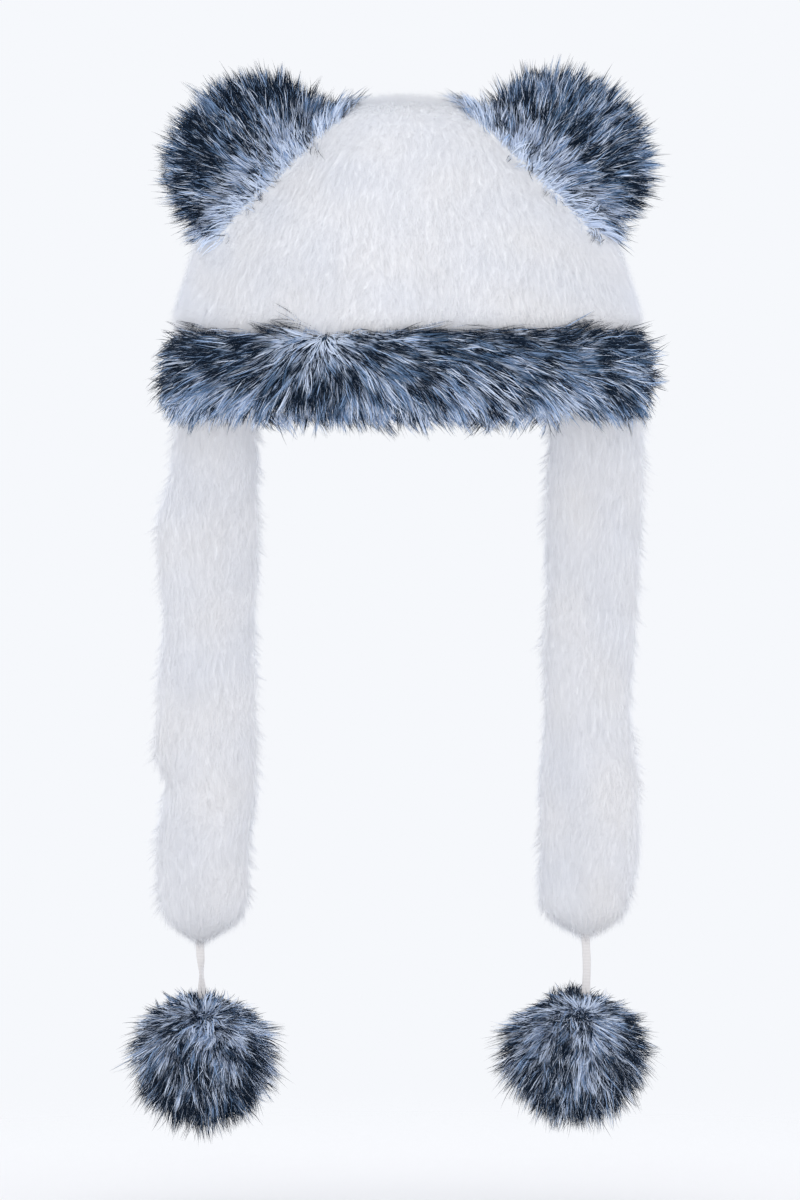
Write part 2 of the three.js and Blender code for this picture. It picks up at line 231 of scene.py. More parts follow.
def frosted_fur():
    """Long modacrylic fur, frosted and tipped: white roots, blue-grey middles, near-black dyed tips."""
    material, tree, shader = new_material(
        "frosted_modacrylic_fur", {"Roughness": 0.55, "IOR": 1.47, "Specular IOR Level": 0.07}
    )
    along, tone, dye_start = strand_facts(tree)
    wool = blend(tree, tone, "#365474", "#a6c4ef")
    # The palest strands of all are undyed.
    wool = blend(tree, eased(tree, tone, 0.76, 1.0), wool, "#e6edf9")
    frosted = blend(tree, eased(tree, along, 0.1, 0.6), "#cfdcf0", wool)
    past_start = worked_out(tree, "SUBTRACT", along, dye_start)
    dyed = blend(tree, eased(tree, past_start, -0.12, 0.06), frosted, "#101f31")
    see_through(tree, shader, dyed, 0.14)
    return material


def white_pile():
    """Short polyester plush: fine bright-white fibres, so thin that light comes through them, and matt."""
    material, tree, shader = new_material(
        "white_polyester_pile", {"Roughness": 0.85, "IOR": 1.55, "Specular IOR Level": 0.1}
    )
    along, tone, _ = strand_facts(tree)
    tip = blend(tree, tone, "#e3e6ec", "#ebebec")
    # The fibres are painted lighter towards their roots. This is painted light that lifts the shade falling
    # deep in the pile.
    see_through(tree, shader, blend(tree, along, "#f2f3f6", tip), 0.5)
    return material


def cloth(name, dark, light, grain_mm, strength, pale=None):
    """Cloth under the pile: its loops are grain_mm apart, drawn as raised grain of two near tones.

    It turns to the pale tone where a piece is by its seam.
    """
    material, tree, shader = new_material(name, {"Roughness": 0.95, "IOR": 1.5, "Specular IOR Level": 0.15})
    grain = {"Scale": 1 / (grain_mm * MM), "Detail": 2.0, "Roughness": 0.6}
    loops = add_node(tree, "ShaderNodeTexNoise", grain, {"Vector": add_place(tree)}).outputs["Fac"]
    shade = blend(tree, loops, dark, light)
    if pale:
        by_seam = add_node(tree, "ShaderNodeAttribute", {"attribute_name": "by_seam"})
        shade = blend(tree, by_seam.outputs["Fac"], shade, pale)
    raise_grain(tree, shader, shade, loops, strength, grain_mm * MM * 0.4)
    return material


def knitted_backing():
    """The plush's own back, seen inside the hollow: warp-knitted polyester in upright rows of loops."""
    material, tree, shader = new_material(
        "knitted_polyester_backing", {"Roughness": 0.9, "IOR": 1.55, "Specular IOR Level": 0.2}
    )
    # Real wales are 1 mm apart. Here 240 go round the hollow, 2.5 mm apart, so that they show, and the
    # courses are as far apart: their wave goes through 2500 radians to a metre.
    wales_round, course_radians = 240.0, 2500.0
    split = add_node(tree, "ShaderNodeSeparateXYZ", links={"Vector": add_place(tree)})
    turn = worked_out(tree, "ARCTAN2", split.outputs["Y"], split.outputs["X"])
    wales = worked_out(tree, "SINE", worked_out(tree, "MULTIPLY", turn, wales_round))
    courses = worked_out(tree, "SINE", worked_out(tree, "MULTIPLY", split.outputs["Z"], course_radians))
    loops = worked_out(tree, "MULTIPLY", wales, courses)
    height = add_node(tree, "ShaderNodeMapRange", {"From Min": -1.0, "From Max": 1.0}, {"Value": loops})
    shade = blend(tree, height.outputs["Result"], "#d3d8e2", "#eceff5")
    raise_grain(tree, shader, shade, height.outputs["Result"], 0.6, 0.6 * MM)
    return material


def woven_tape():
    """Flat woven polyester tape: close white yarns across it and a soft sheen."""
    material, tree, shader = new_material(
        "woven_polyester_tape",
        {"Roughness": 0.6, "IOR": 1.55, "Specular IOR Level": 0.35, "Sheen Weight": 0.3},
    )
    # Weft yarns 0.5 mm apart are drawn 0.8 mm apart.
    weave = {"bands_direction": "Z", "Scale": 0.314 / (0.8 * MM), "Distortion": 1.0, "Detail": 1.0}
    yarns = add_node(tree, "ShaderNodeTexWave", weave, {"Vector": add_place(tree)}).outputs["Fac"]
    raise_grain(tree, shader, blend(tree, yarns, "#bebdbf", "#d4d3d5"), yarns, 0.5, 0.2 * MM)
    return material


def matt_paper():
    """The studio's floor: matt white paper that fades into the pale surround away from the hat."""
    finish = {"Base Color": linear("#ebebec"), "Roughness": 1.0, "Specular IOR Level": 0.0}
    material, tree, shader = new_material("matt_white_paper", finish)
    away = add_node(tree, "ShaderNodeVectorMath", {"operation": "LENGTH"}, {0: add_place(tree)})
    fade = eased(tree, away.outputs["Value"], FLOOR["fades_from"], FLOOR["radius"])
    clear = add_node(tree, "ShaderNodeBsdfTransparent")
    both = {0: fade, 1: shader.outputs["BSDF"], 2: clear.outputs["BSDF"]}
    show(tree, add_node(tree, "ShaderNodeMixShader", links=both))
    return material


def unit(vectors):
    """The same vectors, each one long."""
    length = np.linalg.norm(vectors, axis=-1, keepdims=True)
    return vectors / np.maximum(length, 1e-9)


def lumps(points, spacing, seed):
    """Smooth unevenness, mostly from -1 to 1, over points in mm, with swells about spacing apart."""
    rng = np.random.default_rng(seed)
    total = np.zeros(points.shape[:-1])
    for _ in range(7):
        wave = unit(rng.normal(size=3)) * rng.uniform(0.7, 1.5) * 2 * math.pi / spacing
        total += np.sin(points @ wave + rng.uniform(0, 2 * math.pi))
    return total / 4


def smooth_step(low, high, values):
    """0 where values are low or less, 1 where they are high or more, and a smooth rise between."""
    share = np.clip((values - low) / (high - low), 0, 1)
    return share * share * (3 - 2 * share)


def add_object(name, data):
    """Puts a new object into the scene."""
    added = bpy.data.objects.new(name, data)
    scene.collection.objects.link(added)
    return added


def finish_piece(piece, replaces=()):
    """Puts a piece on the hat's body and hides the model's parts that it replaces."""
    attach(piece, "root")
    if replaces:
        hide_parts(*replaces)


def skin(name, rings, materials, first_pole=None, last_pole=None, inside_from=None):
    """A smooth closed skin over rings, an array of rows by sides by 3, in mm.

    Poles close its ends, and what is past the row inside_from has the second of the materials.
    """
    rows, sides, _ = rings.shape
    points = list(rings.reshape(-1, 3))
    faces = []
    for row in range(rows - 1):
        for side in range(sides):
            after = (side + 1) % sides
            faces.append((row * sides + side, (row + 1) * sides + side,
                          (row + 1) * sides + after, row * sides + after))
    marks = [1 if inside_from is not None and f[0] // sides >= inside_from else 0 for f in faces]
    for pole, row, turned in ((first_pole, 0, False), (last_pole, rows - 1, True)):
        if pole is None:
            continue
        points.append(np.array(pole, float))
        for side in range(sides):
            a, b = row * sides + side, row * sides + (side + 1) % sides
            faces.append((b, a, len(points) - 1) if turned else (a, b, len(points) - 1))
            marks.append(1 if inside_from is not None and turned else 0)
    mesh = bpy.data.meshes.new(name)
    mesh.from_pydata([tuple(p * MM) for p in points], [], faces)
    for material in materials:
        mesh.materials.append(material)
    mesh.polygons.foreach_set("material_index", marks)
    mesh.polygons.foreach_set("use_smooth", [True] * len(faces))
    mesh.update()
    return add_object(name, mesh)


def drift(points, spacing, seed):
    """Smooth unevenness of direction over points in mm, with swells about spacing apart."""
    return np.stack([lumps(points, spacing, seed + axis) for axis in range(3)], 1)


def along_skin(ways, normals):
    """Ways laid flat on the skin that has these normals."""
    return ways - (ways * normals).sum(1, keepdims=True) * normals


def oval(half_width, half_depth, z, sides):
    """A level ring of points round the middle."""
    angles = np.arange(sides) * 2 * math.pi / sides
    return np.stack([half_width * np.cos(angles), half_depth * np.sin(angles), np.full(sides, z)], 1)


def ball_rings(rows, sides):
    """The level rings of a ball whose radius is 1, without its two poles."""
    angles = [math.pi * row / rows for row in range(1, rows)]
    return np.array([oval(math.sin(angle), math.sin(angle), math.cos(angle), sides) for angle in angles])


def at_height(z, shape, values):
    """What values, given at each of a shape's levels from the top down, are at the height z."""
    return np.interp(-z, [-level for level in shape["z"]], values)


def round_hollow(out, z, sides):
    """A level ring that runs out mm outside the hollow at its widest."""
    return oval(HOLLOW["half_width"] + out, HOLLOW["half_depth"] + out, z, sides)


def far_out(points, out):
    """How far out points are, where 1 is on the ring that runs out mm outside the hollow."""
    across = points[..., 0] / (HOLLOW["half_width"] + out)
    deep = points[..., 1] / (HOLLOW["half_depth"] + out)
    return np.hypot(across, deep)


def scatter(piece, count, rng, keep=None):
    """count places on a skin, evenly by area, with the skin's smooth normals there, in mm."""
    mesh = piece.data
    mesh.calc_loop_triangles()
    corners = np.empty(len(mesh.loop_triangles) * 3, np.int64)
    mesh.loop_triangles.foreach_get("vertices", corners)
    corners = corners.reshape(-1, 3)
    places = np.empty(len(mesh.vertices) * 3, np.float32)
    mesh.vertices.foreach_get("co", places)
    places = places.reshape(-1, 3).astype(float) / MM
    normals = np.empty(len(mesh.vertices) * 3, np.float32)
    mesh.vertex_normals.foreach_get("vector", normals)
    normals = normals.reshape(-1, 3).astype(float)
    if keep is not None:
        corners = corners[keep(places[corners].mean(1), normals[corners].mean(1))]
    a, b, c = (places[corners[:, i]] for i in range(3))
    area = np.linalg.norm(np.cross(b - a, c - a), axis=1)
    reach = np.cumsum(area)
    chosen = np.searchsorted(reach, (np.arange(count) + rng.random(count)) / count * reach[-1])
    chosen = np.minimum(chosen, len(corners) - 1)
    u, v = rng.random(count), rng.random(count)
    over = u + v > 1
    u[over], v[over] = 1 - u[over], 1 - v[over]
    weights = np.stack([1 - u - v, u, v], 1)[:, :, None]
    roots = (places[corners[chosen]] * weights).sum(1)
    return roots, unit((normals[corners[chosen]] * weights).sum(1))


def grow(roots, outward, comb, style, rng):
    """The strands' spines, rows of points from root to tip. comb is the way that they are brushed.

    A lock's strands lean towards its leader, and a few long guard hairs stay out of the locks. style says
    how long a strand is, in mm (length, times lengths), how uneven that is in itself (spread) and by locks
    (lock_spread), how far it stands up from the comb (lift, lift_spread) and strays from it (stray), where
    it bends (knee), how many share a lock (lock_size), how close they lie there (pull), how far they sway,
    in mm (wave), and which share of them is guard hair (guard).
    """
    count, steps = len(roots), style["steps"]
    seeds = rng.choice(count, max(4, count // style["lock_size"]), replace=False)
    tree = kdtree.KDTree(len(seeds))
    for index, seed in enumerate(seeds):
        tree.insert(roots[seed], index)
    tree.balance()
    leader = seeds[[tree.find(root)[1] for root in roots]]
    lift = style["lift"] + style["lift_spread"] * rng.normal(size=(count, 1))
    stray = style["stray"] * rng.normal(size=(count, 3))
    guard = rng.random(count) < style["guard"]
    start = unit(outward * (lift + 0.35) + comb * (1 - lift) + stray)
    lean = unit(outward * lift * 0.5 + comb + 1.6 * stray)
    own = style["spread"] * rng.normal(size=count)
    lock = style["lock_spread"] * rng.normal(size=count)[leader]
    uneven = np.exp(np.clip(own + lock, -0.6, 0.3))
    length = (style["length"] * uneven * style["lengths"] * (1 + 0.2 * guard))[:, None]
    knee = roots + start * length * style["knee"]
    tip = knee + lean * length * (1 - style["knee"])
    share = np.linspace(0, 1, steps + 1)[None, :, None]
    spines = ((1 - share) ** 2 * roots[:, None] + 2 * share * (1 - share) * knee[:, None]
              + share**2 * tip[:, None])
    pull = style["pull"] * np.clip(1 + 0.35 * rng.normal(size=count), 0, 1.2) * np.where(guard, 0.4, 1)
    spines += (spines[leader] - spines) * pull[:, None, None] * share**1.4
    if style["wave"]:
        sway = unit(np.cross(unit(spines[:, -1] - spines[:, 0]), outward))
        phase = (rng.uniform(0, 2 * math.pi, count)[leader] + rng.normal(size=count) * 0.5)[:, None, None]
        spines += sway[:, None] * np.sin(4 * share + phase) * style["wave"] * share
    return spines, leader, guard


def frosting(roots, leader, guard, rng, dark, pale, patch_mm, seed):
    """Each strand's tone, and where along it its dyed tip starts, both from 0 to 1.

    dark is how much of the fur is dyed, pale how light the rest is, and its patches are patch_mm apart.
    """
    count = len(roots)
    patch = lumps(roots, patch_mm, seed) + 0.75 * rng.normal(size=count)[leader] + dark
    dyed = (rng.random(count) < 0.05 + 0.9 * smooth_step(-0.6, 0.6, patch)) | guard
    tip = np.where(dyed, rng.normal(0.46, 0.1, count) + 0.08 * rng.normal(size=count)[leader], 0.95)
    tone = 0.5 + pale + 0.36 * rng.normal(size=count)[leader] + 0.3 * rng.normal(size=count)
    return np.clip(tone, 0, 0.999), np.clip(tip, 0.02, 0.999)


def ribbons(spines, outward, width, rng, soft, roll):
    """Tapered ribbons along the spines: their points, two at each step and one at the tip, and normals.

    soft is how far a ribbon is lit as the skin under it is, and roll how far it may turn on its spine.
    """
    count, rows = spines.shape[:2]
    run = unit(np.gradient(spines, axis=1))
    across = unit(np.cross(run, outward[:, None, :]))
    turned = rng.uniform(-roll, roll, (count, 1, 1))
    across = unit(across * np.cos(turned) + np.cross(run, across) * np.sin(turned))
    face = np.cross(across, run)
    share = np.linspace(0, 1, rows)
    taper = (1 - share**2.2)[None, :, None] * width * rng.uniform(0.7, 1.3, (count, 1, 1))
    offset = 0.5 * taper * across
    base = unit(outward)[:, None, :] * soft + face * (1 - soft)
    bulge = 0.45 * across * (1 - soft)

    def in_pairs(lefts, rights, tips):
        pairs = np.stack([lefts, rights], 2)[:, :-1].reshape(count, -1, 3)
        return np.concatenate([pairs, tips[:, -1:]], 1)

    points = in_pairs(spines - offset, spines + offset, spines)
    return points, unit(in_pairs(base - bulge, base + bulge, base))


def strand_values(tone, tip, steps):
    """Each point's place on the map, and how far along its strand it is, with the strand's tone and tip.

    tone and tip are from 0 to 1, in levels. The map gives each pair of levels a narrow upright strip, so
    that equal strands share one place.
    """
    tone_level = np.clip((tone * TONE_LEVELS).astype(int), 0, TONE_LEVELS - 1)
    tip_level = np.clip((tip * TIP_LEVELS).astype(int), 0, TIP_LEVELS - 1)
    strip = tip_level * TONE_LEVELS + tone_level + 0.5
    sides = np.array([-0.12, 0.12] * steps + [0.0])
    map_u = (strip[:, None] + sides[None]) / (TONE_LEVELS * TIP_LEVELS)
    along = np.append(np.repeat(np.linspace(0, 1, steps + 1), 2)[: 2 * steps], 1.0)
    map_v = 0.002 + 0.996 * along
    tone = ((tone_level + 0.5) / TONE_LEVELS)[:, None]
    tip = ((tip_level + 0.5) / TIP_LEVELS)[:, None]

    def side_by_side(*values):
        return np.stack([np.broadcast_to(value, map_u.shape) for value in values], 2)

    return side_by_side(map_u, map_v), side_by_side(along, tone, tip)


def strands(name, spines, outward, width, values, material, rng, soft, roll=0.9):
    """Tapered ribbons along the spines as one mesh. values are their tones and where their tips start."""
    count, rows = spines.shape[:2]
    steps = rows - 1
    per_strand = 2 * steps + 1
    points, normals = ribbons(spines, outward, width, rng, soft, roll)
    uv, facts = strand_values(*values, steps)
    # A strand is a row of four-sided faces with one three-sided face at its tip.
    loops = [first + turn for first in range(0, 2 * steps - 2, 2) for turn in (0, 1, 3, 2)]
    loops += [2 * steps - 2, 2 * steps - 1, 2 * steps]
    corner = (np.arange(count)[:, None] * per_strand + np.array(loops)[None]).ravel()
    sizes = np.tile([4] * (steps - 1) + [3], count)
    mesh = bpy.data.meshes.new(name)
    mesh.vertices.add(count * per_strand)
    mesh.vertices.foreach_set("co", (points * MM).astype(np.float32).ravel())
    mesh.loops.add(len(corner))
    mesh.loops.foreach_set("vertex_index", corner.astype(np.int32))
    mesh.polygons.add(len(sizes))
    mesh.polygons.foreach_set("loop_start", (np.cumsum(sizes) - sizes).astype(np.int32))
    mesh.update(calc_edges=True)
    mesh.polygons.foreach_set("use_smooth", np.ones(len(sizes), bool))
    carried = mesh.attributes.new("strand", "FLOAT_VECTOR", "POINT")
    carried.data.foreach_set("vector", facts.astype(np.float32).ravel())
    uv = uv.reshape(-1, 2)[corner]
    mesh.uv_layers.new(name="OFBake").data.foreach_set("uv", uv.astype(np.float32).ravel())
    mesh.normals_split_custom_set_from_vertices(normals.reshape(-1, 3).astype(np.float32))
    mesh.materials.append(material)
    return add_object(name, mesh)


def set_camera():
    """A level camera in front of the hat that frames what the photograph frames."""
    height = PHOTO_SIZE[1] * MM_PER_PIXEL * MM
    away = height * CAMERA["lens"] / CAMERA["sensor"]
    x = (PHOTO_SIZE[0] / 2 - ORIGIN_PIXEL[0]) * MM_PER_PIXEL * MM
    z = (ORIGIN_PIXEL[1] - PHOTO_SIZE[1] / 2) * MM_PER_PIXEL * MM
    data = bpy.data.cameras.new("camera")
    data.lens = CAMERA["lens"]
    data.sensor_width = CAMERA["sensor"]
    camera = add_object("camera", data)
    camera.location = (x, -away, z)
    camera.rotation_euler = (math.radians(90), 0, 0)
    scene.camera = camera


def tape(name, route, twist):
    """A cord: flat tape down its route, turned by twist degrees at the middle of its length."""
    path = np.array([(x, 0, z) for x, z in route], float)
    steps = np.linspace(0, len(path) - 1, 43)
    line = np.stack([np.interp(steps, np.arange(len(path)), path[:, i]) for i in range(3)], 1)
    kernel = np.array([0.25, 0.5, 0.25])
    for _ in range(4):
        line[1:-1] = sum(k * line[i : len(line) - 2 + i] for i, k in enumerate(kernel))
    share = np.linspace(0, 1, len(line))
    turn = np.radians(twist) * np.exp(-((share - 0.5) / 0.16) ** 2)
    rim = np.linspace(0, 2 * math.pi, 12, endpoint=False)
    flat_x = 0.5 * CORD_WIDTH * np.sign(np.cos(rim)) * np.abs(np.cos(rim)) ** 0.6
    flat_y = 0.5 * CORD_THICKNESS * np.sin(rim)
    rings = []
    for point, angle in zip(line, turn):
        x = flat_x * math.cos(angle) - flat_y * math.sin(angle)
        y = flat_x * math.sin(angle) + flat_y * math.cos(angle)
        rings.append(point + np.stack([x, y, np.zeros(len(rim))], 1))
    piece = skin(name, np.array(rings), [woven_tape_material], line[0], line[-1])
    finish_piece(piece, [name])


def smooth_rows(heights, widths, count):
    """count rows between the given ones on a smooth curve, evenly spaced along it."""
    knots = np.stack([heights, widths], 1).astype(float)
    for _ in range(4):
        middle = 0.5 * (knots[1:] + knots[:-1])
        middle[1:-1] += (knots[1:-2] + knots[2:-1] - knots[:-3] - knots[3:]) / 16
        woven = np.empty((len(knots) + len(middle), 2))
        woven[::2], woven[1::2] = knots, middle
        knots = woven
    reach = np.concatenate([[0], np.cumsum(np.linalg.norm(np.diff(knots, axis=0), axis=1))])
    places = np.linspace(0, reach[-1], count)
    return np.stack([np.interp(places, reach, knots[:, i]) for i in range(2)], 1)


def dome_rings(shape, side_wall, count, sides):
    """The dome's rings from its top down to its base, as wide as shape says and rounder in depth."""
    top = shape["z"][0]
    power = DOME["depth_power"]
    rings = []
    for z, width in smooth_rows(shape["z"], shape["half_width"], count)[1:]:
        rise = (z - HOLLOW["dome_base"]) / (top - HOLLOW["dome_base"])
        spread = max(1 - max(rise, 0) ** power, 0) ** (1 / power)
        rings.append(oval(width, (HOLLOW["half_depth"] + side_wall) * spread, z, sides))
    return rings


def skirt_rings(walls, count, sides):
    """The hat's rings below its dome. walls are its wall at each of the skirt's levels."""
    rings = []
    for z in np.linspace(HOLLOW["dome_base"], HOLLOW["sewn_hem"], count + 1)[1:]:
        rings.append(round_hollow(at_height(z, SKIRT, walls), z, sides))
    return rings


def moved_in(rings, depth):
    """Rings moved in by depth, square to their surface."""
    along = np.gradient(rings, axis=0)
    around = np.roll(rings, -1, 1) - np.roll(rings, 1, 1)
    return rings - unit(np.cross(along, around)) * depth


def make_pile(name, roots, normals, comb, proud, rng, seed, whorl=0.0):
    """White plush pile: fine, dense fibres combed along the cloth.

    They stand up in tufts where they are proud, and evenly and shorter at a whorl.
    """
    lift = 0.12 + 0.68 * np.maximum(proud, whorl)[:, None]
    lengths = (1 + 0.15 * proud) * (1 - 0.45 * whorl)
    style = PILE | {"lift": lift, "pull": 0.75 * proud, "lengths": lengths}
    spines, _, _ = grow(roots, normals, along_skin(comb, normals), style, rng)
    tone = np.clip(0.5 + 0.45 * lumps(roots, 45, seed) + 0.05 * rng.normal(size=len(roots)), 0, 0.999)
    values = (tone, tone)
    pile = strands(name, spines, normals, PILE_FIBRE_WIDTH, values, pile_material, rng, 0.99, roll=0.25)
    finish_piece(pile)


def kept_out(spines):
    """Strands that would reach through the plush behind the cuff, moved back to 2 mm from the hollow."""
    out = far_out(spines, 2)
    behind_cuff = (spines[..., 2] > -145) & (spines[..., 2] < -95)
    push = np.where(behind_cuff & (out < 1), 1 / np.maximum(out, 0.5), 1)
    return spines * np.stack([push, push, np.ones_like(push)], -1)


def make_fur(name, roots, normals, comb, style, shades, rng):
    """Long frosted fur in pointed locks. frosting says what its shades are."""
    spines, leader, guard = grow(roots, normals, comb, FUR | style, rng)
    values = frosting(roots, leader, guard, rng, **shades)
    fur = strands(name, kept_out(spines), normals, style["width"], values, fur_material, rng, soft=0.55)
    finish_piece(fur)


def above_crown(points):
    """How far points in the middle plane are outside the dome's outline, in mm; it is below 0 inside."""
    half = at_height(points[:, 2], DOME_OUTSIDE, DOME_OUTSIDE["half_width"])
    # The outline slopes where the ears are, so it is only 0.7 as far off as it is sideways.
    over = (np.abs(points[:, 0]) - half) * 0.7
    above_top = points[:, 2] - DOME["top_wall"]
    return np.where(above_top > 0, np.maximum(over, above_top), over)


def seam_cover(points):
    """How much of the crown is under the fur along an ear's seam, from 0 to 1."""
    cover = np.zeros(len(points))
    for x, z in EARS.values():
        inwards, up = EAR["seam_shift"]
        across = points[:, 0] - x + np.sign(x) * inwards
        away = np.hypot(across, points[:, 2] - z - up)
        reach = EAR["seam_radius"]
        cover = np.maximum(cover, 1 - smooth_step(reach - 5, reach + 1, away))
    return cover * smooth_step(-12.5, -6.5, above_crown(points))


def make_crown():
    """The dome: a plush shell whose outside carries the pile and whose inside shows the knitted back."""
    sides = 128
    dome = moved_in(np.array(dome_rings(DOME_OUTSIDE, DOME["side_wall"], 40, sides)), PLUSH_DEPTH)
    walls = [wall - pile for wall, pile in zip(SKIRT["wall"], SKIRT["pile"])]
    outside = np.concatenate([dome, np.array(skirt_rings(walls, 16, sides))])
    # The cloth swells a little, but not behind the cuff.
    swell = 0.35 * lumps(outside, 55, 3)[..., None] * smooth_step(-118, -100, outside[..., 2])[..., None]
    outside = outside + (outside - moved_in(outside, 1)) * swell
    inside = dome_rings(DOME_INSIDE, 0, 26, sides) + skirt_rings([0] * len(SKIRT["z"]), 12, sides)
    rings = np.concatenate([outside, np.array(inside)[::-1]])
    top = (0, 0, DOME["top_wall"] - PLUSH_DEPTH)
    shell = skin("crown_shell", rings, [plush_base, knit_back], top, (0, 0, 0), inside_from=len(outside))
    finish_piece(shell, ["crown"])
    rng = np.random.default_rng(SEEDS["crown"])

    def outside_above_cuff(places, normals):
        from_middle = places - [0, 0, HOLLOW["dome_base"]]
        return (places[:, 2] > PILE_LOW) & ((normals * from_middle).sum(1) > 0)

    roots, normals = scatter(shell, FIBRES["crown"], rng, outside_above_cuff)
    clear = rng.random(len(roots)) > 0.85 * seam_cover(roots)
    roots, normals = roots[clear], normals[clear]
    from_top = unit(roots * [1, 1, 0])
    comb = unit(0.7 * from_top - UP + 0.2 * drift(roots, 60, 5))
    edge = smooth_step(0.75, 0.98, np.hypot(normals[:, 0], normals[:, 2]))
    proud = edge * (0.12 + 0.4 * smooth_step(0, 1, lumps(roots, 9, 19)))
    # The pile would part round the very top, so it stands up there.
    whorl = 1 - smooth_step(4, 18, np.hypot(roots[:, 0], roots[:, 1]))
    make_pile("crown_pile", roots, normals, comb, proud, rng, 9, whorl)


def make_cuff():
    """The cuff: dense underfur round the hat and long guard hair brushed both ways from a parting."""
    sides = 128
    top, low = CUFF_BODY["z"][0], CUFF_BODY["z"][-1]
    rings = []
    for z in np.linspace(top, low, 22):
        rings.append(round_hollow(at_height(z, CUFF_BODY, CUFF_BODY["out"]), z, sides))
    for z in np.linspace(low + 1, top - 1, 6):
        rings.append(round_hollow(CUFF_BODY["back"], z, sides))
    rings.append(rings[0])
    base = skin("cuff_underfur", np.array(rings), [underfur])
    finish_piece(base, ["cuff"])
    rng = np.random.default_rng(SEEDS["cuff"])

    def off_back(places, _):
        return far_out(places, CUFF_BODY["back"] + 0.3) > 1.0

    roots, normals = scatter(base, STRANDS["cuff"], rng, off_back)
    angle = np.arctan2(roots[:, 1] / HOLLOW["half_depth"], roots[:, 0] / HOLLOW["half_width"])
    parting = math.atan2(-1, PARTING_X / HOLLOW["half_width"])
    turn = (angle - parting + math.pi) % (2 * math.pi) - math.pi + 0.1 * lumps(roots, 22, 35)
    x_way, y_way = -np.sin(angle) * HOLLOW["half_width"], np.cos(angle) * HOLLOW["half_depth"]
    around = unit(np.stack([x_way, y_way, np.zeros(len(angle))], 1))
    down = (top - roots[:, 2]) / (top - low)
    ripple = lumps(roots, 30, 33)
    # The fur fans out from a point at the top of the parting. fan is how far away that is, in mm.
    fan = np.hypot(100 * turn, 38 * down) + 6
    sweep = 100 * turn / fan * (1 - 0.3 * down**2)
    fall = (0.06 + 0.65 * down**3 + 25 * down / fan + 0.35 * down * lumps(roots, 18, 41)
            + (0.16 + 0.22 * (1 - down) ** 2) * ripple)
    comb = unit(around * sweep[:, None] - UP * fall[:, None])
    under = smooth_step(0, 0.8, -normals[:, 2])
    style = {
        "length": 25, "lengths": 1 - 0.25 * down**2 - 0.15 * (1 - down) ** 4 - 0.15 * under,
        "lift": 0.14, "stray": 0.1, "width": 0.56, "lock_size": 9, "lock_spread": 0.2,
        "pull": 0.78, "wave": 1.5, "guard": 0.05,
    }
    dark = 1.1 - 1.2 * down - 0.9 * down**3 + 0.5 * (1 - smooth_step(6, 28, fan))
    shades = {"dark": dark, "pale": 0.5 * down**2 - 0.08, "patch_mm": 26, "seed": 37}
    make_fur("cuff_fur", roots, normals, comb, style, shades, rng)


def make_ear_pad(name, centre, turned):
    """An ear's stuffed round pad, whose underfur is pale by the seam. turned is how it stands."""
    long_radius, short_radius = EAR["pad_radius"]
    rings = ball_rings(24, 48) * [short_radius, EAR["pad_depth"], long_radius] @ turned.T + centre
    to_top = turned @ [0, 0, long_radius]
    pad = skin(name + "_pad", rings, [underfur], centre + to_top, centre - to_top)
    finish_piece(pad, [name])
    places = np.array([vertex.co for vertex in pad.data.vertices]) / MM
    paleness = 1 - smooth_step(-2, 12, above_crown(places))
    by_seam = pad.data.attributes.new("by_seam", "FLOAT", "POINT")
    by_seam.data.foreach_set("value", paleness.astype(np.float32))
    return pad


